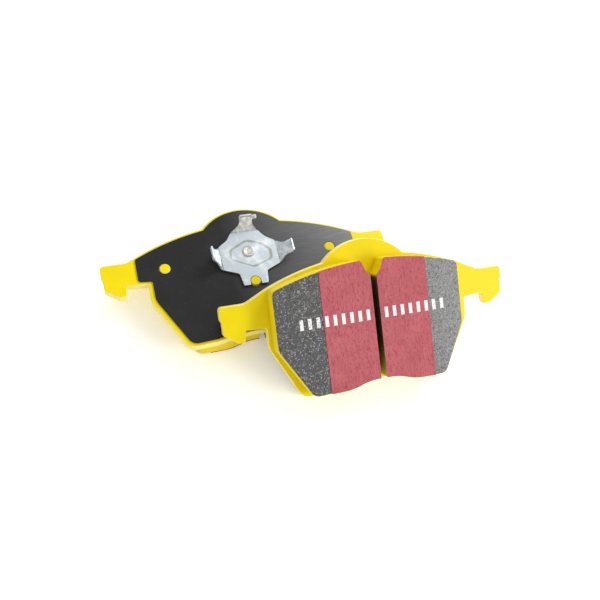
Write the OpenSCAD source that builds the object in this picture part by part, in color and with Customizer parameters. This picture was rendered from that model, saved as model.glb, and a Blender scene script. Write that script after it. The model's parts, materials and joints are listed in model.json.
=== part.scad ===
// A set of two disc brake pads for a floating caliper, laid out in pairs:
// the piston-side (inner) pad lies flat on its friction face and shows its shim and piston clip,
// the outer pad leans on the inner pad's lower edge and shows its two friction blocks.
// The origin is on the floor, at the middle of the space that the set takes up.
// Every pad is drawn in its own plate frame first: u to the right, v towards the dome,
// w out of the friction face, with w = 0 on the back face of the steel plate.

/* [Backing plate] */
// Distance from ear tip to ear tip
plate_w = 156.4; // [150:0.2:160]
// Thickness of the stamped steel plate
plate_t = 5; // [4.5:0.1:6]
// Height of the dome's top over the clip rivet
dome_top = 28.4; // [27:0.1:30]
// Radius of the dome
dome_r = 29.7; // [28:0.1:32]
// Radius of the long arc of the plate's top edge
crown_r = 134; // [128:1:140]
// Height of the flat top of the ears
ear_top = 3.7; // [3:0.1:4.5]
// Half the width of the plate's body below the ears
body_half = 55.1; // [54.5:0.1:56]
// Depth of the lower corners under the rivet
foot_drop = 49.2; // [48:0.1:50]

/* [Friction blocks] */
// Thickness of a new pad, from plate back to rubbing face
pad_t = 17.5; // [16:0.1:20]
// Thickness of the bonding underlayer
underlayer_t = 2; // [1.5:0.1:2.5]
// Thickness of the bedding-in coating
coating_t = 0.2; // [0.15:0.05:0.3]
// Width of the slot between the two blocks
slot_w = 3.2; // [2.6:0.1:4]
// Outer side of the long block
long_side = 53.4; // [52:0.1:54]
// Outer side of the short block
short_side = 46.8; // [46:0.1:50]
// Distance from the slot's middle to the coating's edge
coating_half = 28.6; // [27:0.1:30]

/* [Shim and pips] */
// Thickness of the noise shim
shim_t = 0.8; // [0.6:0.1:1]
// Distance of the two side pips from the middle
pip_u = 45.4; // [44:0.1:46]
// Diameter of the side pips
pip_d = 5.6; // [5:0.1:6]
// Distance of the lower pip under the rivet
low_pip_drop = 18.2; // [17.8:0.1:18.6]
// Diameter of the lower pip
low_pip_d = 5.2; // [4.8:0.1:5.4]

/* [Piston clip] */
// Thickness of the clip's spring steel
clip_t = 0.9; // [0.8:0.05:1]
// Distance of the two side bends from the rivet
side_bend_u = 16; // [15.6:0.1:16.4]
// Height of the top bend over the rivet
top_bend_v = 12.9; // [12.6:0.1:13.2]
// Length of a finger
finger_l = 8.8; // [8.4:0.1:10]
// Upward angle of the left finger
left_rise = 57; // [52:1:64]
// Upward angle of the right finger
right_rise = 34; // [30:1:44]
// Upward angle of the top finger
top_rise = 52; // [48:1:60]

/* [Layout] */
// Sideways distance between the two pads
pair_dx = 53.4; // [53:0.1:54]
// Distance of the outer pad's middle in front of the inner pad's
pair_dy = 37.4; // [37.2:0.1:37.8]
// Angle at which the outer pad leans back
lean = 32.2; // [32:0.1:32.6]

/* [Hidden] */

arc_steps = 6;                                  // facets of each rounded outline corner
crown_v = -113.7;                               // centre of the plate's long top arc
dome_v = dome_top - dome_r;
sill_r = 120;                                   // long arc of the plate's bottom edge
sill_v = -45.7 - sill_r;
rim = 1.4;                                      // bare rim round the shim
fit_gap = 0.06;                                 // running clearance round a finger's bend
pip_gap = 0.3;
block_top_r = 158;                              // long top arc of the blocks
block_top_v = 18.3 - block_top_r;
block_sill_v = -43.3;                           // lower edge of the blocks beside the slot
notch_v = 10;                                   // lower end of the notch over the slot
friction_w = pad_t - coating_t;                 // height of a bare block's face
pan_t = 0.45;                                   // depth of the clip's pressed pan
clip_mid = shim_t + pan_t + clip_t / 2;         // middle of the clip's sheet over the plate back
top_w = 14.4;                                   // width of the top bend
side_bend_top = 4.4;                            // upper and lower ends of the two side bends
side_bend_low = -9.3;
side_w = side_bend_top - side_bend_low;
side_mid = (side_bend_top + side_bend_low) / 2;
YELLOW = "#f0dc00";
SHIM = "#424247";
FRICTION = "#5c5c5a";
UNDERLAYER = "#47403a";
COATING = "#c0646c";
ZINC = "#c9d2d8";
RIVET = "#b9b98c";

// --- outline helpers -------------------------------------------------------------

function unit(a) = a / norm(a);

// One corner [u, v, r] of a path, given its two neighbours, as an arc of radius r.
function corner(before, here, after) =
    let (p = [here[0], here[1]],
         a = unit([before[0], before[1]] - p),
         b = unit([after[0], after[1]] - p),
         half = acos(a * b) / 2,
         reach = here[2] / tan(half),
         centre = p + unit(a + b) * here[2] / sin(half),
         from = p + a * reach - centre,
         to = p + b * reach - centre,
         start = atan2(from[1], from[0]),
         turn = (atan2(to[1], to[0]) - start + 540) % 360 - 180)
    here[2] == 0 ? [p] :
    [for (i = [0:arc_steps]) let (t = start + turn * i / arc_steps) centre + here[2] * [cos(t), sin(t)]];

// A closed path of corners [u, v, r], with every corner rounded.
function rounded(path) =
    let (n = len(path))
    [for (i = [0:n - 1]) each corner(path[(i + n - 1) % n], path[i], path[(i + 1) % n])];

// Points at equal steps of u on the upper half of a circle on the v axis.
function crest(r, v, from, to, steps) =
    [for (i = [0:steps]) let (u = from + (to - from) * i / steps) [u, v + sqrt(r * r - u * u), 0]];

function on_circle(r, v, u) = v + sqrt(r * r - u * u);

// Where the dome's circle meets the long top arc, for an outline set in by d.
function meet_v(d) =
    (dome_v * dome_v - crown_v * crown_v - pow(dome_r - d, 2) + pow(crown_r - d, 2))
    / (2 * (dome_v - crown_v));
function meet_u(d) = sqrt(pow(dome_r - d, 2) - pow(meet_v(d) - dome_v, 2));

function dome(d) =
    let (u = meet_u(d), a = atan2(u, meet_v(d) - dome_v), n = 24)
    [for (i = [0:n]) let (t = -a + 2 * a * i / n)
        [(dome_r - d) * sin(t), dome_v + (dome_r - d) * cos(t), 0]];

function flip(path) = [for (i = [len(path) - 1:-1:0]) [-path[i][0], path[i][1], path[i][2]]];

// --- outlines ----------------------------------------------------------------------

// Right half of the plate below its dome, clockwise.
plate_half = concat(
    crest(crown_r, crown_v, meet_u(0) + 1.6, 53, 8),
    [[64.6, ear_top, 9],
     [plate_w / 2, ear_top, 1.8],
     [plate_w / 2, -2.9, 1],
     [plate_w / 2 - 0.8, -4.4, 1],
     [plate_w / 2 - 0.8, -10.7, 2],
     [70.2, -15.6, 1.4],
     [66.8, -15.9, 0.8],
     [65.8, -9.6, 0.7],
     [body_half, -10.2, 1.2],
     [body_half, -20.9, 12],
     [40.4, -foot_drop, 6]],
    crest(sill_r, sill_v, 26, 0, 6));

shim_half = concat(
    crest(crown_r - rim, crown_v, meet_u(rim) + 1.2, 57, 8),
    [[59.9, on_circle(crown_r - rim, crown_v, 59.9), 1.2],
     [59.9, -8.7, 1.6],
     [52.8, -9.3, 1],
     [52.8, -20.4, 11],
     [38.7, -foot_drop + rim, 5]],
    crest(sill_r, sill_v + rim, 26, 0, 6));

function closed(d, half) = rounded(concat(dome(d), half, flip(half)));

// Outline of one friction block on the right of the slot: outer side, lower corner.
function block(side, foot_u) = rounded(concat(
    [[slot_w / 2, notch_v, 0.3],
     [3.9, 12.5, 2.5],
     [5.9, on_circle(block_top_r, block_top_v, 6), 1.8]],
    crest(block_top_r, block_top_v, 9, side - 6, 8),
    [[side, on_circle(block_top_r, block_top_v, side), 3.6],
     [side, -20.8, 6],
     [foot_u, -46.9, 4.5],
     [17.5, -46.5, 28],
     [7.5, block_sill_v, 28],
     [slot_w / 2, block_sill_v, 0.3]]));

long_outline = block(long_side, 37.7);
short_outline = block(short_side, 34.9);

block_low = min([for (p = concat(long_outline, short_outline)) p[1]]);
plate_low = min([for (p = closed(0, plate_half)) p[1]]);

// The set's extent in front of and behind the inner pad's rivet, for centring it.
set_front = -pair_dy + block_low * cos(lean) - pad_t * sin(lean);
set_x = -pair_dx / 2;
set_y = -(set_front + dome_top) / 2;

// --- the two places -------------------------------------------------------------------

// The inner pad: turned over, friction face on the floor.
module inner() {
    translate([set_x, set_y, pad_t]) rotate([0, 180, 0]) children();
}

// The outer pad: lower corners on the floor, back on the inner pad's edge.
module outer() {
    translate([pair_dx + set_x, set_y - pair_dy, -plate_low * sin(lean)]) rotate([lean, 0, 0]) children();
}

// --- shared shapes in the plate frame ----------------------------------------------------

module pip(u, v, d, height) {
    translate([u, v, -height]) cylinder(d = d, h = height + 0.5, $fn = 48);
}

// A stamped plate with the pips that hold its shim; the heights are over the plate's back.
module plate(side_pip_h, low_pip_h) {
    union() {
        linear_extrude(plate_t) polygon(closed(0, plate_half));
        for (side = [-1, 1]) pip(side * pip_u, -3, pip_d, side_pip_h);
        pip(0, -low_pip_drop, low_pip_d, low_pip_h);
    }
}

module shim_hole(u, v, d) {
    translate([u, v, -1]) cylinder(d = d, h = shim_t + 2, $fn = 48);
}

// A shim with a hole round each pip, and one at the rivet if centre_d is over 0.
module shim_sheet(centre_d) {
    translate([0, 0, -shim_t]) difference() {
        linear_extrude(shim_t) polygon(closed(rim, shim_half));
        for (side = [-1, 1]) shim_hole(side * pip_u, -3, pip_d + 2 * pip_gap);
        shim_hole(0, -low_pip_drop, low_pip_d + 2 * pip_gap);
        if (centre_d > 0) shim_hole(0, 0, centre_d);
    }
}

// One level of a block, from height low to height high.
module layer(outline, low, high) {
    translate([0, 0, low]) linear_extrude(high - low) polygon(outline);
}

module underlayer(outline) {
    layer(outline, plate_t, plate_t + underlayer_t);
}

module friction(outline) {
    layer(outline, plate_t + underlayer_t, friction_w);
}

module coating(outline) {
    translate([0, 0, friction_w]) linear_extrude(coating_t) intersection() {
        polygon(outline);
        translate([0, -60]) square([coating_half, 100]);
    }
}

// The long block is left of the slot when its face is towards the viewer.
module long_place() {
    mirror([1, 0, 0]) children();
}

// --- the piston clip --------------------------------------------------------------------

clip_right = [
    [top_w / 2, top_bend_v, 0],
    [10.6, 8, 7],
    [side_bend_u, side_bend_top, 0],
    [side_bend_u, side_bend_low, 0],
    [7.6, -12.9, 1.6],
    [6.6, -low_pip_drop - 2.1, 1]];
clip_outline = rounded(concat(clip_right, flip(clip_right)));
pan_outline = rounded([
    [-9.4, 4.8, 4],
    [0, 8.6, 5],
    [11.2, 2.9, 3.6],
    [12, -4.4, 3.2],
    [-1.2, -11.4, 4],
    [-13.2, -7, 3.4],
    [-13.6, -0.2, 3.6]]);

module bend_relief(w) {
    r = clip_t / 2 + fit_gap;
    rotate([0, 90, 0]) cylinder(r = r, h = w, center = true, $fn = 32);
    translate([-w / 2, -r - 0.1, -clip_t]) cube([w, 2 * r + 0.1, clip_t]);
}

// Puts children on a bend line: x along the bend, y away from the rivet, z into the pad.
module at_side_bend(side) {
    translate([side * side_bend_u, side_mid, -clip_mid]) rotate([0, 0, -90 * side]) children();
}

module at_top_bend() {
    translate([0, top_bend_v, -clip_mid]) children();
}

// The hollow of the pressed pan, which opens away from the plate.
module pan_hollow() {
    depth = clip_t + pan_t - clip_t / 2 - 0.001;
    translate([0, 0, -clip_mid - clip_t]) linear_extrude(depth) offset(delta = -1) polygon(pan_outline);
}

module pip_notch() {
    d = low_pip_d + 2 * pip_gap;
    translate([0, -low_pip_drop, -5]) cylinder(d = d, h = 6, $fn = 48);
    translate([-d / 2, -low_pip_drop - 4, -5]) cube([d, 4, 6]);
}

// One finger in the plane of its own sheet: root_w at the bend, tip_w over most of its length.
// hook is how far the catch at the tip stands out sideways.
module finger(root_w, tip_w, shift, rise, hook = 0) {
    lip = 1.6;                                  // length of the bent tip
    left = shift - tip_w / 2;
    right = shift + tip_w / 2;
    rotate([-rise, 0, 0]) union() {
        rotate([0, 90, 0]) cylinder(d = clip_t, h = root_w - 0.4, center = true, $fn = 32);
        translate([0, 0, -clip_t / 2]) linear_extrude(clip_t) polygon(rounded([
            [-root_w / 2 + 0.2, 0, 0],
            [left, 3.8, 5],
            if (hook > 0) each [[left, finger_l - 2.2, 0.8], [left - hook, finger_l - 2.2, 0.6]],
            [left - hook, finger_l, 0.6],
            [right, finger_l, 0.6],
            [right, 3.8, 5],
            [root_w / 2 - 0.2, 0, 0]]));
        translate([left + 0.3, finger_l - 0.5, 0]) rotate([-40, 0, 0])
            translate([0, 0, -clip_t / 2]) cube([tip_w - 0.6, lip, clip_t]);
    }
}

// --- the inner pad's pieces ----------------------------------------------------------------

module inner_backing_plate() {
    color(YELLOW) inner() plate(shim_t + 0.1, 2.4);
}

module inner_shim() {
    color(SHIM) inner() shim_sheet(4.6);
}

module inner_underlayer_long() {
    color(UNDERLAYER) inner() long_place() underlayer(long_outline);
}

module inner_underlayer_short() {
    color(UNDERLAYER) inner() underlayer(short_outline);
}

module inner_friction_long() {
    color(FRICTION) inner() long_place() friction(long_outline);
}

module inner_friction_short() {
    color(FRICTION) inner() friction(short_outline);
}

module inner_coating_long() {
    color(COATING) inner() long_place() coating(long_outline);
}

module inner_coating_short() {
    color(COATING) inner() coating(short_outline);
}

module clip_base() {
    color(ZINC) inner() difference() {
        union() {
            translate([0, 0, -clip_mid - clip_t / 2]) linear_extrude(clip_t) polygon(clip_outline);
            translate([0, 0, -shim_t - clip_t]) linear_extrude(clip_t) polygon(pan_outline);
        }
        pan_hollow();
        translate([0, 0, -5]) cylinder(d = 4.4, h = 6, $fn = 48);
        pip_notch();
        for (side = [-1, 1]) at_side_bend(side) bend_relief(side_w + 1);
        at_top_bend() bend_relief(top_w + 1);
    }
}

// A short stud whose head is cupped by the riveting tool.
module clip_rivet() {
    head_r = 3.3;
    seat = shim_t + clip_t;
    top = seat + 0.9;
    color(RIVET) inner() rotate_extrude($fn = 64) polygon([
        [0, -seat - 0.35],
        [1.3, -seat - 0.35],
        [2.3, -top],
        [head_r - 0.35, -top],
        [head_r, -top + 0.45],
        [head_r, -seat],
        [2, -seat],
        [2, 0],
        [0, 0]]);
}

module clip_finger_left() {
    color(ZINC) inner() at_side_bend(1) finger(side_w, 8, 0, left_rise);
}

module clip_finger_right() {
    color(ZINC) inner() at_side_bend(-1) finger(side_w, 8, 0, right_rise);
}

module clip_finger_top() {
    color(ZINC) inner() at_top_bend() finger(top_w, 7, -1.4, top_rise, 2.6);
}

// --- the outer pad's pieces ----------------------------------------------------------------

// Its pips are level with the shim, so that the caliper's fingers can lie flat on it.
module outer_backing_plate() {
    color(YELLOW) outer() plate(shim_t, shim_t);
}

module outer_shim() {
    color(SHIM) outer() shim_sheet(0);
}

module outer_underlayer_long() {
    color(UNDERLAYER) outer() long_place() underlayer(long_outline);
}

module outer_underlayer_short() {
    color(UNDERLAYER) outer() underlayer(short_outline);
}

module outer_friction_long() {
    color(FRICTION) outer() long_place() friction(long_outline);
}

module outer_friction_short() {
    color(FRICTION) outer() friction(short_outline);
}

module outer_coating_long() {
    color(COATING) outer() long_place() coating(long_outline);
}

module outer_coating_short() {
    color(COATING) outer() coating(short_outline);
}

inner_backing_plate();
inner_shim();
inner_underlayer_long();
inner_underlayer_short();
inner_friction_long();
inner_friction_short();
inner_coating_long();
inner_coating_short();
clip_base();
clip_rivet();
clip_finger_left();
clip_finger_right();
clip_finger_top();
outer_backing_plate();
outer_shim();
outer_underlayer_long();
outer_underlayer_short();
outer_friction_long();
outer_friction_short();
outer_coating_long();
outer_coating_short();
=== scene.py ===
# %% [markdown]
# A pair of disc brake pads, finished for a close look. The CAD model already has the sizes and
# the joints, so this lesson is about looks: edges that catch light, painted steel, pressed zinc
# sheet, and a friction block that looks like the gritty compound it is.

# %% Load the fixed frame
import json
import math

import bpy
import numpy as np
from mathutils import Matrix, Vector


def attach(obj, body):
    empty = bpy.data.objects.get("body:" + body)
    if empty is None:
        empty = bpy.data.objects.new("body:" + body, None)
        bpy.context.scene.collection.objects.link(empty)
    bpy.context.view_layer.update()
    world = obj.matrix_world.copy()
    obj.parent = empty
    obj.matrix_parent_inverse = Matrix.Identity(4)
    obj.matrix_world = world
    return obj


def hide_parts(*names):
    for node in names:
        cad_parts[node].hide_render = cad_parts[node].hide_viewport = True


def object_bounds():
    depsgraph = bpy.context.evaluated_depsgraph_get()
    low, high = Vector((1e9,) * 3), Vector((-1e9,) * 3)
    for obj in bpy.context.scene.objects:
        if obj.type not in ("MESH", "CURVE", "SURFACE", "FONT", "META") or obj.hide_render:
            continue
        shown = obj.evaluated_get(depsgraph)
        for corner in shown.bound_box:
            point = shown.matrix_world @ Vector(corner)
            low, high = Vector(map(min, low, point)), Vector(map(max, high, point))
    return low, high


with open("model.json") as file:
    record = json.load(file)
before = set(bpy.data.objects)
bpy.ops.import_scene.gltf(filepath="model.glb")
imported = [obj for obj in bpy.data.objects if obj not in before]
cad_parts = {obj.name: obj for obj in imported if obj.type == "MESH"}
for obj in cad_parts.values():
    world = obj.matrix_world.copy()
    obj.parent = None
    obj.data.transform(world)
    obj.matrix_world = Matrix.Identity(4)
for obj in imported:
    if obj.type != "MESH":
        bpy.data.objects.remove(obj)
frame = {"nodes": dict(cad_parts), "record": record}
cad_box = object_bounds()
record = frame["record"]
print("CAD box", [[round(value, 4) for value in point] for point in cad_box])

# %% [markdown]
# Blender works in metres, but a brake pad is easier to think about in millimetres, so one short
# helper turns millimetres into metres. Each pad also has a frame of its own: u across the pad,
# v towards the dome and w out of the friction face. The record's mounts say where each pad lies,
# so the two frames are worked out from them instead of being typed in again.

# %% Millimetres and the two pad frames
MM = 0.001


def mm(value):
    return value * MM


mounts = {mount["name"]: mount for mount in record["mounts"]}
lean_axis = Vector(mounts["outer_rub_face"]["axis"])
lean = math.atan2(-lean_axis.y, lean_axis.z)
FACE_SPOT = Vector((18, -12, 17.5)) * MM    # the rubbing-face mounts, in a pad's own frame

turn_inner = Matrix.Rotation(math.pi, 3, "Y")
turn_outer = Matrix.Rotation(lean, 3, "X")
pad_turn = {"inner_pad": turn_inner, "outer_pad": turn_outer}
pad_origin = {
    "inner_pad": Vector(mounts["inner_rest_face"]["pos_m"]) - turn_inner @ FACE_SPOT,
    "outer_pad": Vector(mounts["outer_rub_face"]["pos_m"]) - turn_outer @ FACE_SPOT,
}
print("the outer pad leans", round(math.degrees(lean), 1), "degrees")
for name, place in pad_origin.items():
    print(name, "origin in mm", [round(value / MM, 2) for value in place])

# %% [markdown]
# The camera looks down on the two pads from the front left, as in a table shot. Two directions
# and a place set it: "back" points from the scene towards the camera, "up" is the top of the
# frame, and the place is in millimetres. "right" is worked out from the other two.

# %% Camera
LENS = 43.96
CAMERA_PLACE = (-102.3, -161.5, 358.6)
CAMERA_BACK = (-0.249, -0.4072, 0.8787)
CAMERA_UP = (0.1476, 0.8808, 0.45)

camera_data = bpy.data.cameras.new("camera")
camera_data.lens = LENS
camera = bpy.data.objects.new("camera", camera_data)
bpy.context.collection.objects.link(camera)
bpy.context.scene.camera = camera
camera_back = Vector(CAMERA_BACK).normalized()
camera_up = Vector(CAMERA_UP)
camera_right = camera_up.cross(camera_back).normalized()
camera_up = camera_back.cross(camera_right)
look = Matrix((camera_right, camera_up, camera_back)).transposed()
camera.matrix_world = Matrix.Translation(Vector(CAMERA_PLACE) * MM) @ look.to_4x4()
print("lens", camera_data.lens, "camera height in metres", CAMERA_PLACE[2] * MM)

# %% [markdown]
# Small parts are often shown in a bright tent: white all round, with a soft light that gives the
# satin faces a gradient. The floor is one plain pale sheet, lit a little from below as on a light
# table, so shadows stay faint. The world light does the work of the tent, and two area lights
# stand for the soft boxes.

# %% Floor, world and soft boxes
TENT_STRENGTH = 0.72
FLOOR_SIZE = 6
FLOOR_GAP = 0.0002
FLOOR_GLOW = 0.22
WHITE = (1, 1, 1, 1)
PALE = (0.97, 0.97, 0.97, 1)

scene = bpy.context.scene
scene.view_settings.view_transform = "Standard"
world = bpy.data.worlds.new("tent")
scene.world = world
world.use_nodes = True
tent = world.node_tree.nodes["Background"].inputs
tent["Color"].default_value = WHITE
tent["Strength"].default_value = TENT_STRENGTH


def soft_box(name, place, size, power):
    data = bpy.data.lights.new(name, "AREA")
    data.shape = "RECTANGLE"
    data.size, data.size_y = size
    data.energy = power
    light = bpy.data.objects.new(name, data)
    light.location = place
    light.rotation_euler = (-Vector(place)).to_track_quat("-Z", "Y").to_euler()
    bpy.context.collection.objects.link(light)
    print(name, "at", place, "power", power)


soft_box("front_right_box", (0.61, -0.49, 0.57), (0.36, 0.36), 3.1)
soft_box("back_right_box", (0.54, 0.50, 0.56), (0.36, 0.36), 4.4)

bpy.ops.object.select_all(action="DESELECT")
bpy.ops.mesh.primitive_plane_add(size=FLOOR_SIZE, location=(0, 0, cad_box[0][2] - FLOOR_GAP))
floor = bpy.context.object
floor.name = "floor"
floor_sheet = bpy.data.materials.new("floor_sheet")
floor_sheet.use_nodes = True
sheet = floor_sheet.node_tree.nodes["Principled BSDF"].inputs
sheet["Base Color"].default_value = PALE
sheet["Roughness"].default_value = 0.9
sheet["Emission Color"].default_value = WHITE
sheet["Emission Strength"].default_value = FLOOR_GLOW
floor.data.materials.append(floor_sheet)

# %% [markdown]
# Materials come next, and they need to know where they are on a pad. Every finished piece gets
# four attributes. "plate" is the place in the pad's own frame, in millimetres, so a streak or a
# printed mark stays on the pad wherever the pad lies. "rim" is 1 on the small rounded edges and
# "wall" is 1 on the sides, so edges can carry wear on the shim and painted highlight on the plate
# and the zinc, and paint can cover the sides of a block; on the plate the sides carry a painted
# reflection. "slope" is 1 wherever a face is not flat to the pad, which picks out the wall of the
# clip's pan, where shade is painted.

# %% A small toolkit for building node trees


def link(tree, source, target):
    tree.links.new(source, target)


def math_node(tree, operation, a, b=None, clamp=False):
    node = tree.nodes.new("ShaderNodeMath")
    node.operation = operation
    node.use_clamp = clamp
    for socket, value in zip(node.inputs, (a, b)):
        if value is None:
            continue
        if isinstance(value, (int, float)):
            socket.default_value = value
        else:
            link(tree, value, socket)
    return node.outputs[0]


def product(tree, first, *others):
    for other in others:
        first = math_node(tree, "MULTIPLY", first, other)
    return first


def attribute(tree, name):
    node = tree.nodes.new("ShaderNodeAttribute")
    node.attribute_name = name
    return node.outputs["Vector" if name == "plate" else "Fac"]


def vector_math(tree, operation, first, second=None):
    node = tree.nodes.new("ShaderNodeVectorMath")
    node.operation = operation
    link(tree, first, node.inputs[0])
    if isinstance(second, tuple):
        node.inputs[1].default_value = second
    elif second is not None:
        link(tree, second, node.inputs[1])
    return node.outputs


def separate(tree, vector):
    node = tree.nodes.new("ShaderNodeSeparateXYZ")
    link(tree, vector, node.inputs[0])
    return node.outputs


def noise(tree, vector, size_mm, detail=3.0, rough=0.55, distortion=0.0):
    node = tree.nodes.new("ShaderNodeTexNoise")
    link(tree, vector, node.inputs["Vector"])
    node.inputs["Scale"].default_value = 1 / size_mm
    node.inputs["Detail"].default_value = detail
    node.inputs["Roughness"].default_value = rough
    node.inputs["Distortion"].default_value = distortion
    return node.outputs["Fac"]


def stretch(tree, vector, factors):
    node = tree.nodes.new("ShaderNodeMapping")
    node.inputs["Scale"].default_value = factors
    link(tree, vector, node.inputs["Vector"])
    return node.outputs["Vector"]


def spread(tree, value, low, high, out_low=0.0, out_high=1.0):
    node = tree.nodes.new("ShaderNodeMapRange")
    node.inputs["From Min"].default_value = low
    node.inputs["From Max"].default_value = high
    node.inputs["To Min"].default_value = out_low
    node.inputs["To Max"].default_value = out_high
    link(tree, value, node.inputs["Value"])
    return node.outputs["Result"]


def mix(tree, factor, first, second):
    node = tree.nodes.new("ShaderNodeMix")
    node.data_type = "RGBA"
    sockets = [s for s in node.inputs if s.enabled]
    for socket, value in zip(sockets, (factor, first, second)):
        if isinstance(value, (int, float)):
            socket.default_value = value
        elif isinstance(value, tuple):
            socket.default_value = (*value, 1)
        else:
            link(tree, value, socket)
    return [s for s in node.outputs if s.enabled][0]


def bump(tree, height, depth_mm, strength=1.0):
    node = tree.nodes.new("ShaderNodeBump")
    node.inputs["Distance"].default_value = mm(depth_mm)
    node.inputs["Strength"].default_value = strength
    link(tree, height, node.inputs["Height"])
    return node.outputs["Normal"]


def new_material(name):
    material = bpy.data.materials.new(name)
    material.use_nodes = True
    shader = material.node_tree.nodes["Principled BSDF"]
    return material, material.node_tree, shader


def new_group(name, inputs, outputs):
    group = bpy.data.node_groups.new(name, "ShaderNodeTree")
    for label, kind, value in inputs:
        socket = group.interface.new_socket(label, in_out="INPUT", socket_type=kind)
        if value is not None:
            socket.default_value = value
    for label, kind in outputs:
        group.interface.new_socket(label, in_out="OUTPUT", socket_type=kind)
    start = group.nodes.new("NodeGroupInput")
    end = group.nodes.new("NodeGroupOutput")
    return group, start.outputs, end.inputs


def use_group(tree, group, **values):
    node = tree.nodes.new("ShaderNodeGroup")
    node.node_tree = group
    for label, value in values.items():
        socket = node.inputs[label.replace("_", " ")]
        if isinstance(value, (int, float)):
            socket.default_value = value
        else:
            link(tree, value, socket)
    return node.outputs


print("toolkit ready")

# %% [markdown]
# Six effects turn up in several finishes, so each is a node group with named inputs. The first
# breaks up the rounded edges with noise: on the shim it marks wear, on the plate and the zinc it
# places painted highlight. "Blotches" is the slow drift of tone that any sprayed or plated surface
# has. "Fine grain" is its small-scale tooth. "Printed ticks" is a plain row of upright marks, a
# generic stand-in for the print that such coatings carry. "Pan wall" is the sloping wall of the
# clip's pressed pan, which is painted duller and greener than the flats as painted shade. "Slot
# shadow" marks the slot between the blocks, where painted shade darkens the plate, the bare slot
# walls and the underlayer edges.

# %% Shared shader groups
FLOAT, VECTOR = "NodeSocketFloat", "NodeSocketVector"

# noise patches on rounded edges: wear on the shim, painted highlight on the plate and the zinc
rim_wear_and_highlight, given, result = new_group(
    "Rim wear and highlight",
    [("Place", VECTOR, None), ("Rim", FLOAT, 0), ("Patch Size", FLOAT, 2.0), ("Amount", FLOAT, 0.5)],
    [("Mask", FLOAT)])
scaled = vector_math(rim_wear_and_highlight, "DIVIDE", given["Place"], given["Patch Size"])[0]
patches = spread(rim_wear_and_highlight, noise(rim_wear_and_highlight, scaled, 1.0, 4.0), 0.42, 0.62)
link(rim_wear_and_highlight, product(rim_wear_and_highlight, patches, given["Rim"], given["Amount"]), result["Mask"])

blotches, given, result = new_group(
    "Blotches", [("Place", VECTOR, None), ("Size", FLOAT, 14.0)], [("Value", FLOAT)])
scaled = vector_math(blotches, "DIVIDE", given["Place"], given["Size"])[0]
link(blotches, spread(blotches, noise(blotches, scaled, 1.0, 2.5), 0.3, 0.7), result["Value"])

fine_grain, given, result = new_group(
    "Fine grain", [("Place", VECTOR, None), ("Size", FLOAT, 0.3)],
    [("Value", FLOAT), ("Height", FLOAT)])
scaled = vector_math(fine_grain, "DIVIDE", given["Place"], given["Size"])[0]
grain_noise = noise(fine_grain, scaled, 1.0, 5.0, 0.7)
link(fine_grain, spread(fine_grain, grain_noise, 0.35, 0.65), result["Value"])
link(fine_grain, grain_noise, result["Height"])

TICK_V = -9.6             # the row's height on the pad
TICK_HALF = 2.7           # half a tick's height
TICK_PITCH = 4.4
TICK_SHARE = 0.42         # how much of the pitch is printed
TICK_GAP = 4.0            # bare stretch each side of the slot
TICK_START, TICK_END = -41.5, 37

ticks_group, given, result = new_group(
    "Printed ticks", [("Place", VECTOR, None)], [("Mask", FLOAT)])
axes = separate(ticks_group, given["Place"])
from_row = math_node(ticks_group, "SUBTRACT", axes["Y"], TICK_V)
in_row = math_node(ticks_group, "LESS_THAN", math_node(ticks_group, "ABSOLUTE", from_row), TICK_HALF)
from_slot = math_node(ticks_group, "ABSOLUTE", axes["X"])
from_slot = math_node(ticks_group, "SUBTRACT", from_slot, TICK_GAP)
phase = math_node(ticks_group, "FRACT", math_node(ticks_group, "DIVIDE", from_slot, TICK_PITCH))
in_tick = math_node(ticks_group, "LESS_THAN", phase, TICK_SHARE)
clear_of_slot = math_node(ticks_group, "GREATER_THAN", from_slot, 0)
after_start = math_node(ticks_group, "GREATER_THAN", axes["X"], TICK_START)
before_end = math_node(ticks_group, "LESS_THAN", axes["X"], TICK_END)
mask = product(ticks_group, in_row, in_tick, clear_of_slot, after_start, before_end)
link(ticks_group, mask, result["Mask"])

PAN_HALF_U, PAN_HALF_V = 15.0, 11.4    # an oval that holds the pan and its wall
PAN_DROP = 1.5                         # how far the oval's middle lies below the rivet
RIVET_SHARE = 0.36                     # the part of the oval that is left to the rivet

pan_wall, given, result = new_group(
    "Pan wall", [("Place", VECTOR, None), ("Slope", FLOAT, 0)], [("Mask", FLOAT)])
placed = pan_wall.nodes.new("ShaderNodeMapping")
placed.inputs["Scale"].default_value = (1 / PAN_HALF_U, 1 / PAN_HALF_V, 0)
placed.inputs["Location"].default_value = (0, PAN_DROP / PAN_HALF_V, 0)
link(pan_wall, given["Place"], placed.inputs["Vector"])
from_middle = vector_math(pan_wall, "LENGTH", placed.outputs["Vector"])["Value"]
inside = math_node(pan_wall, "LESS_THAN", from_middle, 1.0)
clear = math_node(pan_wall, "GREATER_THAN", from_middle, RIVET_SHARE)
link(pan_wall, product(pan_wall, inside, clear, given["Slope"]), result["Mask"])

SLOT_EDGE = (1.75, 2.1)       # from dark to clear, out from the slot's middle
NOTCH_FLOOR = (8.6, 10.2)     # from dark to clear, up into the notch over the slot
SLOT_END = (-44.0, -24.0)     # the lower stretch, where more light gets in
END_SHADE = 0.45
FRONT_SIDE = 4.4              # only the front of the plate and what lies on it

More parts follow.
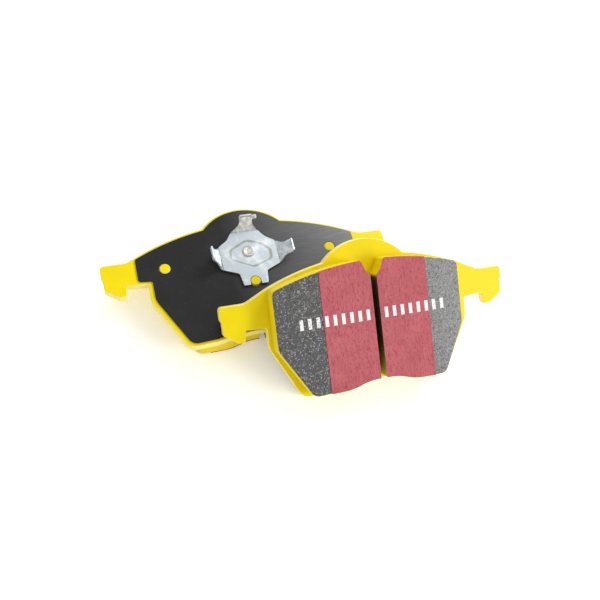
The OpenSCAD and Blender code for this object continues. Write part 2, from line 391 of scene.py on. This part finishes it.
slot_shadow, given, result = new_group("Slot shadow", [("Place", VECTOR, None)], [("Mask", FLOAT)])
axes = separate(slot_shadow, given["Place"])
from_slot = math_node(slot_shadow, "ABSOLUTE", axes["X"])
near_slot = spread(slot_shadow, from_slot, *SLOT_EDGE, 1.0, 0.0)
under_notch = spread(slot_shadow, axes["Y"], *NOTCH_FLOOR, 1.0, 0.0)
over_end = spread(slot_shadow, axes["Y"], *SLOT_END, END_SHADE, 1.0)
in_front = math_node(slot_shadow, "GREATER_THAN", axes["Z"], FRONT_SIDE)
mask = product(slot_shadow, near_slot, under_notch, over_end, in_front)
link(slot_shadow, mask, result["Mask"])
groups = (rim_wear_and_highlight, blotches, fine_grain, ticks_group, pan_wall, slot_shadow)
print("groups:", [group.name for group in groups])

# %% [markdown]
# The plates are powder-coated in a warm yellow. Powder coat is satin, never flat: it has a soft
# orange peel and its tone drifts a little. Its rounded edges carry patches of painted highlight,
# the sides of the plate are painted paler than its faces as a painted reflection of the pale
# surroundings, and the floor of the slot is painted dark as painted shade. The colour sits on the
# Principled shader, with a thin coat over it.

# %% Yellow powder coat
PAINT_DEEP, PAINT_BRIGHT = (0.83, 0.655, 0.0), (0.875, 0.705, 0.001)
PAINT_GRAIN = (0.74, 0.54, 0.0)
# pale tone for the rounded edges: painted highlight
PAINT_EDGE_HIGHLIGHT = (0.95, 0.88, 0.46)
# paler tone for the plate's sides: painted reflection of the pale surroundings
PAINT_SIDE_REFLECTION = (0.96, 0.87, 0.38)
# dark tone for the plate inside the slot: painted shade
PAINT_SLOT_SHADE = (0.17, 0.125, 0.012)

plate_paint, tree, shader = new_material("plate_paint")
place = attribute(tree, "plate")
rim = attribute(tree, "rim")
drift = use_group(tree, blotches, Place=place, Size=11.0)["Value"]
grain = use_group(tree, fine_grain, Place=place, Size=0.5)
edge_wear_and_highlight = use_group(tree, rim_wear_and_highlight, Place=place, Rim=rim, Patch_Size=1.8, Amount=0.95)["Mask"]
slot_shade = use_group(tree, slot_shadow, Place=place)["Mask"]
paint = mix(tree, drift, PAINT_DEEP, PAINT_BRIGHT)
paint = mix(tree, spread(tree, grain["Value"], 0, 1, 0.0, 0.06), paint, PAINT_GRAIN)
# patches of painted highlight on the rounded edges
paint = mix(tree, edge_wear_and_highlight, paint, PAINT_EDGE_HIGHLIGHT)
# the sides painted paler than the faces: painted reflection
paint = mix(tree, product(tree, attribute(tree, "wall"), 0.62), paint, PAINT_SIDE_REFLECTION)
# the plate inside the slot painted dark: painted shade
paint = mix(tree, product(tree, slot_shade, 0.9), paint, PAINT_SLOT_SHADE)
link(tree, paint, shader.inputs["Base Color"])
link(tree, spread(tree, drift, 0, 1, 0.34, 0.46), shader.inputs["Roughness"])
shader.inputs["Specular IOR Level"].default_value = 0.14
shader.inputs["Coat Weight"].default_value = 0.06
shader.inputs["Coat Roughness"].default_value = 0.25
peel = noise(tree, place, 0.9, 2.0, 0.4)
link(tree, bump(tree, peel, 0.03), shader.inputs["Normal"])
print("made", plate_paint.name)

# %% [markdown]
# The noise shim is thin steel with a baked rubber skin: nearly black, satin, with a fine tooth
# and the faint rolling lines of the sheet under it. It is painted paler towards one end, a painted
# sheen of the soft box at the back right, and a few dust specks keep it from looking like plastic.

# %% Rubber-skinned shim
SKIN_DARK, SKIN_LIGHT = (0.007, 0.007, 0.008), (0.014, 0.013, 0.014)
# paler tone towards one end: painted sheen
SKIN_SHEEN = (0.225, 0.225, 0.225)
SKIN_LINES = (0.010, 0.010, 0.012)
SKIN_TOOTH = (0.045, 0.045, 0.048)
DUST = (0.30, 0.30, 0.31)
SKIN_WORN = (0.11, 0.11, 0.115)
SHEEN_FROM_U, SHEEN_TO_U = 12, -58

shim_skin, tree, shader = new_material("shim_skin")
place = attribute(tree, "plate")
rim = attribute(tree, "rim")
drift = use_group(tree, blotches, Place=place, Size=16.0)["Value"]
grain = use_group(tree, fine_grain, Place=place, Size=0.22)
rolled = noise(tree, stretch(tree, place, (0.12, 3.2, 1)), 1.0, 3.0)
edge_wear_and_highlight = use_group(tree, rim_wear_and_highlight, Place=place, Rim=rim, Patch_Size=1.2, Amount=0.35)["Mask"]
painted_sheen = spread(tree, separate(tree, place)["X"], SHEEN_FROM_U, SHEEN_TO_U)
skin = mix(tree, drift, SKIN_DARK, SKIN_LIGHT)
# paler towards one end: painted sheen of the soft box
skin = mix(tree, painted_sheen, skin, SKIN_SHEEN)
skin = mix(tree, spread(tree, rolled, 0.35, 0.7, 0.0, 0.35), skin, SKIN_LINES)
skin = mix(tree, spread(tree, grain["Value"], 0.55, 1.0, 0.0, 0.4), skin, SKIN_TOOTH)
dust = tree.nodes.new("ShaderNodeTexVoronoi")
dust.inputs["Scale"].default_value = 0.55
link(tree, place, dust.inputs["Vector"])
speck = math_node(tree, "LESS_THAN", dust.outputs["Distance"], 0.07)
skin = mix(tree, product(tree, speck, 0.35), skin, DUST)
skin = mix(tree, edge_wear_and_highlight, skin, SKIN_WORN)
link(tree, skin, shader.inputs["Base Color"])
link(tree, spread(tree, grain["Value"], 0, 1, 0.30, 0.38), shader.inputs["Roughness"])
shader.inputs["Specular IOR Level"].default_value = 0.3
height = math_node(tree, "ADD", grain["Height"], product(tree, rolled, 0.5))
link(tree, bump(tree, height, 0.015), shader.inputs["Normal"])
print("made", shim_skin.name)

# %% [markdown]
# Friction compound is pressed from fibres, graphite, grit and metal powder. Four Voronoi layers
# scatter coarse grit, fine grit, dark pores and a little brass, and noise wobbles their outlines.
# The matrix is painted paler towards the short block's end, a painted sheen of the soft box at the
# front right. Grit and pores drive the bump too, so a dark pore is also a dent. The sides of a block
# are sprayed with the plate, which is what "wall" is for. The walls of the slot are bare compound,
# and a dark olive paints shade on them.

# %% Friction compound
MATRIX_DARK, MATRIX_LIGHT = (0.014, 0.014, 0.015), (0.034, 0.034, 0.035)
# paler tone towards the short block's end: painted sheen
MATRIX_SHEEN = (0.245, 0.245, 0.24)
MATRIX_TOOTH = (0.105, 0.105, 0.103)
FINE_GRIT, COARSE_GRIT = (0.36, 0.36, 0.36), (0.46, 0.455, 0.455)
BRASS, PORE = (0.42, 0.27, 0.12), (0.012, 0.012, 0.012)
PRINT_ON_COMPOUND = (0.86, 0.85, 0.83)
SPRAY_DEEP, SPRAY_BRIGHT = (0.80, 0.60, 0.0), (0.90, 0.73, 0.01)
# slot walls: bare compound under painted shade
COMPOUND_BARE_SLOT_SHADE = (0.062, 0.053, 0.024)
SHEEN_BLOCK_FROM_U, SHEEN_BLOCK_TO_U = -20, 40


def scattered(tree, vector, size_mm, share, shift):
    cells = tree.nodes.new("ShaderNodeTexVoronoi")
    cells.inputs["Scale"].default_value = 1 / size_mm
    shifted = vector_math(tree, "ADD", vector, (shift, shift * 2, shift * 3))[0]
    link(tree, shifted, cells.inputs["Vector"])
    chosen = tree.nodes.new("ShaderNodeSeparateColor")
    link(tree, cells.outputs["Color"], chosen.inputs[0])
    picked = math_node(tree, "LESS_THAN", chosen.outputs[0], share)
    core = spread(tree, cells.outputs["Distance"], 0.25, 0.55, 1.0, 0.0)
    return math_node(tree, "MULTIPLY", picked, core, clamp=True)


friction, tree, shader = new_material("friction_compound")
place = attribute(tree, "plate")
wall = attribute(tree, "wall")
rim = attribute(tree, "rim")
drift = use_group(tree, blotches, Place=place, Size=7.0)["Value"]
grain = use_group(tree, fine_grain, Place=place, Size=0.42)
wobble = tree.nodes.new("ShaderNodeTexNoise")
wobble.inputs["Scale"].default_value = 1.3
link(tree, place, wobble.inputs["Vector"])
bent = vector_math(tree, "MULTIPLY_ADD", wobble.outputs["Color"], (1.1, 1.1, 1.1))[0]
link(tree, place, bent.node.inputs[2])
grit = scattered(tree, bent, 0.85, 0.30, 3.1)
fine_grit = scattered(tree, bent, 0.45, 0.34, 7.7)
pores = scattered(tree, bent, 0.75, 0.26, 12.4)
brass = scattered(tree, bent, 0.95, 0.05, 21.9)
painted_sheen = spread(tree, separate(tree, place)["X"], SHEEN_BLOCK_FROM_U, SHEEN_BLOCK_TO_U)
compound = mix(tree, drift, MATRIX_DARK, MATRIX_LIGHT)
# paler towards the short block's end: painted sheen of the soft box
compound = mix(tree, painted_sheen, compound, MATRIX_SHEEN)
compound = mix(tree, spread(tree, grain["Value"], 0, 1, 0.0, 0.75), compound, MATRIX_TOOTH)
compound = mix(tree, product(tree, fine_grit, 0.5), compound, FINE_GRIT)
compound = mix(tree, product(tree, grit, 0.62), compound, COARSE_GRIT)
compound = mix(tree, product(tree, brass, 0.6), compound, BRASS)
compound = mix(tree, product(tree, pores, 0.8), compound, PORE)
printed = use_group(tree, ticks_group, Place=place)["Mask"]
printed = product(tree, printed, math_node(tree, "SUBTRACT", 1, product(tree, pores, 0.7)))
face_only = math_node(tree, "SUBTRACT", 1, wall, clamp=True)
compound = mix(tree, product(tree, printed, face_only), compound, PRINT_ON_COMPOUND)
sprayed = mix(tree, grain["Value"], SPRAY_DEEP, SPRAY_BRIGHT)
ragged = spread(tree, noise(tree, place, 1.1, 4.0), 0.4, 0.6)
cover = math_node(tree, "ADD", wall, product(tree, rim, ragged, 0.6), clamp=True)
slot_shade = use_group(tree, slot_shadow, Place=place)["Mask"]
cover = product(tree, cover, math_node(tree, "SUBTRACT", 1, slot_shade))
# the slot walls: bare compound, darkened as painted shade
compound = mix(tree, product(tree, slot_shade, wall), compound, COMPOUND_BARE_SLOT_SHADE)
link(tree, mix(tree, cover, compound, sprayed), shader.inputs["Base Color"])
link(tree, spread(tree, cover, 0, 1, 0.42, 0.48), shader.inputs["Roughness"])
link(tree, spread(tree, cover, 0, 1, 0.6, 0.15), shader.inputs["Specular IOR Level"])
height = math_node(tree, "ADD", product(tree, grain["Height"], 0.7), product(tree, grit, 0.35))
height = math_node(tree, "SUBTRACT", height, product(tree, pores, 0.7))
link(tree, bump(tree, height, 0.12), shader.inputs["Normal"])
print("made", friction.name)

# %% [markdown]
# Between steel and compound is a thin underlayer that bonds the two. Only its edge can be seen,
# and the spray covers that too, so its finish is the paint over a coarse moulded edge. In the slot
# the edge is bare, and it is painted dark there as painted shade.

# %% Underlayer edge
EDGE_DEEP, EDGE_BRIGHT = (0.72, 0.52, 0.0), (0.86, 0.68, 0.0)
EDGE_THIN = (0.30, 0.22, 0.02)
# the edge inside the slot: bare, darkened as painted shade
EDGE_BARE_SLOT_SHADE = (0.07, 0.058, 0.022)

underlayer_edge, tree, shader = new_material("underlayer_edge")
place = attribute(tree, "plate")
grain = use_group(tree, fine_grain, Place=place, Size=0.6)
drift = use_group(tree, blotches, Place=place, Size=5.0)["Value"]
slot_shade = use_group(tree, slot_shadow, Place=place)["Mask"]
edge_paint = mix(tree, grain["Value"], EDGE_DEEP, EDGE_BRIGHT)
edge_paint = mix(tree, spread(tree, drift, 0.75, 1.0, 0.0, 0.5), edge_paint, EDGE_THIN)
# inside the slot: painted shade over the bare edge
edge_paint = mix(tree, slot_shade, edge_paint, EDGE_BARE_SLOT_SHADE)
link(tree, edge_paint, shader.inputs["Base Color"])
shader.inputs["Roughness"].default_value = 0.5
link(tree, bump(tree, grain["Height"], 0.06), shader.inputs["Normal"])
print("made", underlayer_edge.name)

# %% [markdown]
# The bedding-in coating is a thin gritty spray, dusty red, with fine streaks along the pad's
# height. Two stretched noises of different lengths make the streaks, and the bump follows the
# shorter of them together with the grain.

# %% Red bedding-in coating
RED_DEEP, RED_BRIGHT = (0.46, 0.092, 0.110), (0.53, 0.125, 0.140)
RED_STREAK, RED_PALE_STREAK = (0.30, 0.048, 0.062), (0.62, 0.20, 0.22)
RED_GRAIN = (0.70, 0.27, 0.29)
PRINT_ON_RED = (0.90, 0.88, 0.87)

bedding, tree, shader = new_material("bedding_coating")
place = attribute(tree, "plate")
streak = noise(tree, stretch(tree, place, (1.35, 0.40, 1)), 1.0, 4.0, 0.6, distortion=1.3)
long_streak = noise(tree, stretch(tree, place, (0.9, 0.14, 1)), 1.0, 3.0, 0.6, distortion=0.6)
grain = use_group(tree, fine_grain, Place=place, Size=0.35)
drift = use_group(tree, blotches, Place=place, Size=12.0)["Value"]
red = mix(tree, drift, RED_DEEP, RED_BRIGHT)
red = mix(tree, spread(tree, streak, 0.5, 0.62, 0.0, 0.8), red, RED_STREAK)
red = mix(tree, spread(tree, long_streak, 0.45, 0.7, 0.0, 0.22), red, RED_PALE_STREAK)
red = mix(tree, spread(tree, grain["Value"], 0.6, 1.0, 0.0, 0.35), red, RED_GRAIN)
printed = use_group(tree, ticks_group, Place=place)["Mask"]
printed = product(tree, printed, spread(tree, grain["Value"], 0, 0.35, 0.75, 1.0))
red = mix(tree, printed, red, PRINT_ON_RED)
link(tree, red, shader.inputs["Base Color"])
link(tree, spread(tree, streak, 0.3, 0.7, 0.62, 0.8), shader.inputs["Roughness"])
shader.inputs["Specular IOR Level"].default_value = 0.3
height = math_node(tree, "ADD", product(tree, streak, 0.8), product(tree, grain["Height"], 0.6))
link(tree, bump(tree, product(tree, height, -1), 0.16), shader.inputs["Normal"])
print("made", bedding.name)

# %% [markdown]
# The clip is zinc-plated spring steel. Bright zinc is cool and mottled, with a faint yellow-green
# cast in places. Pale patches placed at random and brighter edges are painted highlights, and the
# pan's sloping wall is painted duller and greener as painted shade. The rivet has the same kind of
# finish with a warmer, greener tone, so one function makes both.

# %% Zinc plate and the rivet's own tone
ZINC_TOOTH = (0.42, 0.45, 0.47)
# pale patches placed at random: painted highlight
ZINC_HIGHLIGHT_PATCH = (0.84, 0.86, 0.87)
# brighter edges: painted highlight
ZINC_EDGE_HIGHLIGHT = (0.97, 0.98, 0.98)
# the pan's sloping wall: painted shade, dull and greenish
PAN_WALL_SHADE = (0.27, 0.29, 0.21)


def plated(name, cool, warm, warm_share, rough):
    material, tree, shader = new_material(name)
    place = attribute(tree, "plate")
    rim, slope = attribute(tree, "rim"), attribute(tree, "slope")
    drift = use_group(tree, blotches, Place=place, Size=3.6)["Value"]
    wide_drift = use_group(tree, blotches, Place=place, Size=8.0)["Value"]
    grain = use_group(tree, fine_grain, Place=place, Size=0.25)
    drawn = noise(tree, stretch(tree, place, (0.25, 2.4, 1)), 1.0, 3.0)
    edge_wear_and_highlight = use_group(tree, rim_wear_and_highlight, Place=place, Rim=rim, Patch_Size=2.6, Amount=1.0)["Mask"]
    pan_shade = use_group(tree, pan_wall, Place=place, Slope=slope)["Mask"]
    tone = mix(tree, spread(tree, drift, 1 - warm_share, 1, 0.0, 0.9), cool, warm)
    tone = mix(tree, spread(tree, grain["Value"], 0.5, 1, 0.0, 0.25), tone, ZINC_TOOTH)
    # pale patches placed at random: painted highlight
    tone = mix(tree, spread(tree, wide_drift, 0.45, 0.9, 0.0, 0.75), tone, ZINC_HIGHLIGHT_PATCH)
    # brighter edges: painted highlight
    tone = mix(tree, edge_wear_and_highlight, tone, ZINC_EDGE_HIGHLIGHT)
    dull = spread(tree, wide_drift, 0.1, 0.9, 0.95, 0.35)
    # the pan's sloping wall painted duller and greener: painted shade
    tone = mix(tree, product(tree, pan_shade, dull), tone, PAN_WALL_SHADE)
    link(tree, tone, shader.inputs["Base Color"])
    shader.inputs["Metallic"].default_value = 0.75
    uneven = math_node(tree, "ADD", product(tree, drawn, 0.5), product(tree, drift, 0.5))
    link(tree, spread(tree, uneven, 0.3, 0.8, rough, rough + 0.10), shader.inputs["Roughness"])
    height = math_node(tree, "ADD", drawn, grain["Height"])
    link(tree, bump(tree, height, 0.012), shader.inputs["Normal"])
    print("made", name)
    return material


zinc = plated("zinc_plate", (0.50, 0.56, 0.60), (0.56, 0.60, 0.57), 0.3, 0.42)
rivet_tone = plated("rivet_plate", (0.60, 0.60, 0.50), (0.40, 0.38, 0.14), 0.7, 0.25)

# %% [markdown]
# A CAD solid has knife edges, and nothing real has. The outlines are already there, so each
# visible piece starts as a copy of its CAD node: the loose triangles are merged, flat areas are
# dissolved into single faces, and a Bevel rounds the edges as the press and the paint would.
# Weighted normals keep the big faces flat while the bevels shade round. The four attributes are
# worked out from how far each face turns away from the pad's own w direction.

# %% Helpers that turn a CAD solid into a finished piece
MERGE = 1e-6             # vertices closer than this are one
FLAT_ANGLE = 0.4         # faces that differ by less than this are one
WALL_BELOW = 0.92        # a face counts as wall once its w share drops below this
RIM_BELOW = 0.94
SLOPE_BELOW = 0.992


def fade(value, reach):
    return np.clip(value / reach, 0, 1)


def only(piece):
    bpy.ops.object.select_all(action="DESELECT")
    piece.select_set(True)
    bpy.context.view_layer.objects.active = piece


def copy_of(node, name):
    source = frame["nodes"][node]
    piece = bpy.data.objects.new(name, source.data.copy())
    bpy.context.collection.objects.link(piece)
    piece.data.materials.clear()
    only(piece)
    bpy.ops.object.mode_set(mode="EDIT")
    bpy.ops.mesh.select_all(action="SELECT")
    bpy.ops.mesh.remove_doubles(threshold=MERGE)
    bpy.ops.mesh.dissolve_limited(angle_limit=math.radians(FLAT_ANGLE))
    bpy.ops.object.mode_set(mode="OBJECT")
    return piece


def apply_modifier(piece, kind, **settings):
    only(piece)
    modifier = piece.modifiers.new(kind.lower(), kind)
    for key, value in settings.items():
        setattr(modifier, key, value)
    bpy.ops.object.modifier_apply(modifier=modifier.name)


def round_edges(piece, width_mm, segments=3, angle=32):
    apply_modifier(piece, "BEVEL", width=mm(width_mm), segments=segments, limit_method="ANGLE",
                   angle_limit=math.radians(angle), use_clamp_overlap=False)


def shade(piece):
    only(piece)
    bpy.ops.object.shade_smooth_by_angle(angle=math.radians(40))
    apply_modifier(piece, "WEIGHTED_NORMAL", keep_sharp=True, weight=80)


def write_attribute(mesh, name, kind, domain, field, values):
    mesh.attributes.new(name, kind, domain).data.foreach_set(field, values)


def finish_piece(piece, body, material, node):
    pad = "outer_pad" if body == "outer_pad" else "inner_pad"
    turn, origin = np.array(pad_turn[pad]), np.array(pad_origin[pad])
    mesh = piece.data
    points = np.empty(len(mesh.vertices) * 3)
    mesh.vertices.foreach_get("co", points)
    plate = (points.reshape(-1, 3) - origin) @ turn / MM
    normals = np.empty(len(mesh.polygons) * 3)
    mesh.polygons.foreach_get("normal", normals)
    w_share = np.abs(normals.reshape(-1, 3) @ turn[:, 2])
    rim = fade(RIM_BELOW - w_share, 0.2) * fade(w_share, 0.2)
    write_attribute(mesh, "plate", "FLOAT_VECTOR", "POINT", "vector", plate.ravel())
    write_attribute(mesh, "wall", "FLOAT", "FACE", "value", fade(WALL_BELOW - w_share, 0.5))
    write_attribute(mesh, "rim", "FLOAT", "FACE", "value", rim)
    write_attribute(mesh, "slope", "FLOAT", "FACE", "value", fade(SLOPE_BELOW - w_share, 0.02))
    mesh.materials.append(material)
    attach(piece, body)
    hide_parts(node)
    print(piece.name, len(mesh.polygons), "faces")


# %% [markdown]
# The backing plates are stamped from 5 mm steel, and the coat rounds their edges. A bevel of
# nearly half a millimetre, with painted highlight on it, makes the pale line that runs round such
# a plate.

# %% Backing plates
PADS = ("inner", "outer")
SIDES = ("long", "short")

for pad in PADS:
    node = f"{pad}_backing_plate"
    plate = copy_of(node, f"{pad}_plate_painted")
    round_edges(plate, 0.45)
    shade(plate)
    finish_piece(plate, f"{pad}_pad", plate_paint, node)

# %% [markdown]
# The shims are 0.8 mm sheet with cleanly punched edges, so their bevel is small.

# %% Shims
for pad in PADS:
    node = f"{pad}_shim"
    shim = copy_of(node, f"{pad}_shim_skin")
    round_edges(shim, 0.16, 2)
    shade(shim)
    finish_piece(shim, f"{pad}_pad", shim_skin, node)

# %% [markdown]
# A friction block has crumbly edges and a face that is flat but not smooth. After its bevel the
# block is remeshed into small even faces, and a Displace modifier with a cloud texture nibbles at
# it. The displacement only goes inwards, so the block never outgrows its CAD size.

# %% Friction blocks and underlayers
CRUMB_SIZE = 1.1
CRUMB_DEPTH = 0.16
BLOCK_MESH = 0.5

crumble = bpy.data.textures.new("crumble", "CLOUDS")
crumble.noise_scale = mm(CRUMB_SIZE)
crumble.noise_depth = 3

for pad in PADS:
    for side in SIDES:
        node = f"{pad}_friction_{side}"
        block = copy_of(node, f"{pad}_block_{side}")
        round_edges(block, 0.3, 2)
        apply_modifier(block, "REMESH", mode="VOXEL", voxel_size=mm(BLOCK_MESH), use_smooth_shade=True)
        apply_modifier(block, "SMOOTH", factor=0.5, iterations=2)
        apply_modifier(block, "DISPLACE", texture=crumble, texture_coords="LOCAL",
                       strength=mm(CRUMB_DEPTH), mid_level=1.0)
        finish_piece(block, f"{pad}_pad", friction, node)
        node = f"{pad}_underlayer_{side}"
        layer = copy_of(node, f"{pad}_bond_{side}")
        round_edges(layer, 0.12, 2)
        shade(layer)
        finish_piece(layer, f"{pad}_pad", underlayer_edge, node)

# %% [markdown]
# The coating is only a fifth of a millimetre thick, but its edge shows where it ends half-way
# across a block, so it stays a solid of its own with a soft edge.

# %% Bedding-in coatings
for pad in PADS:
    for side in SIDES:
        node = f"{pad}_coating_{side}"
        coat = copy_of(node, f"{pad}_coat_{side}")
        round_edges(coat, 0.06, 2)
        shade(coat)
        finish_piece(coat, f"{pad}_pad", bedding, node)

# %% [markdown]
# The clip is pressed from 0.9 mm sheet, and its cut edges are lightly rounded. The pan's wall
# slopes, because sheet cannot be pressed to a sharp corner. So before the bevel the corners of the
# pan's floor are picked out by their level and drawn in towards the pan's middle. Each finger is a
# separate piece that turns about its bend line.

# %% Clip base and fingers
LEVEL_SLACK = 0.02
RIVET_REACH = 3                      # the rivet's own hole lies inside this
PAN_REACH = 13.4                     # the pan's corners lie inside these bounds
PAN_LOW, PAN_HIGH = -11.6, 8.4
PAN_MIDDLE = -1.4                    # the pan's middle, below the rivet
PAN_DRAWN_IN = (0.885, 0.85, 1)

joints = {joint["name"]: joint for joint in record["behaviour"]["joints"]}
pan_level = joints["finger_top_flex"]["pos_m"][2]
rivet_x, rivet_y = pad_origin["inner_pad"].x, pad_origin["inner_pad"].y
clip = copy_of("clip_base", "clip_sheet")
bpy.ops.object.mode_set(mode="EDIT")
bpy.ops.mesh.select_all(action="DESELECT")
bpy.ops.mesh.select_mode(type="VERT")
bpy.ops.object.mode_set(mode="OBJECT")
for vertex in clip.data.vertices:
    across = abs(vertex.co.x - rivet_x)
    along = vertex.co.y - rivet_y
    at_level = abs(vertex.co.z - pan_level) < mm(LEVEL_SLACK)
    clear_of_rivet = math.hypot(across, along) > mm(RIVET_REACH)
    in_pan = across < mm(PAN_REACH) and mm(PAN_LOW) < along < mm(PAN_HIGH)
    vertex.select = at_level and clear_of_rivet and in_pan
print("pan floor corners:", sum(vertex.select for vertex in clip.data.vertices))
bpy.ops.object.mode_set(mode="EDIT")
bpy.ops.transform.resize(value=PAN_DRAWN_IN,
                         center_override=(rivet_x, rivet_y + mm(PAN_MIDDLE), pan_level))
bpy.ops.object.mode_set(mode="OBJECT")
round_edges(clip, 0.16, angle=28)
shade(clip)
finish_piece(clip, "inner_pad", zinc, "clip_base")

for side in ("left", "right", "top"):
    node = f"clip_finger_{side}"
    finger = copy_of(node, f"{node}_sheet")
    round_edges(finger, 0.16)
    shade(finger)
    finish_piece(finger, node, zinc, node)

# %% [markdown]
# The rivet is a short stud with a cupped head.

# %% Rivet
rivet = copy_of("clip_rivet", "clip_rivet_head")
round_edges(rivet, 0.14, angle=20)
shade(rivet)
finish_piece(rivet, "inner_pad", rivet_tone, "clip_rivet")
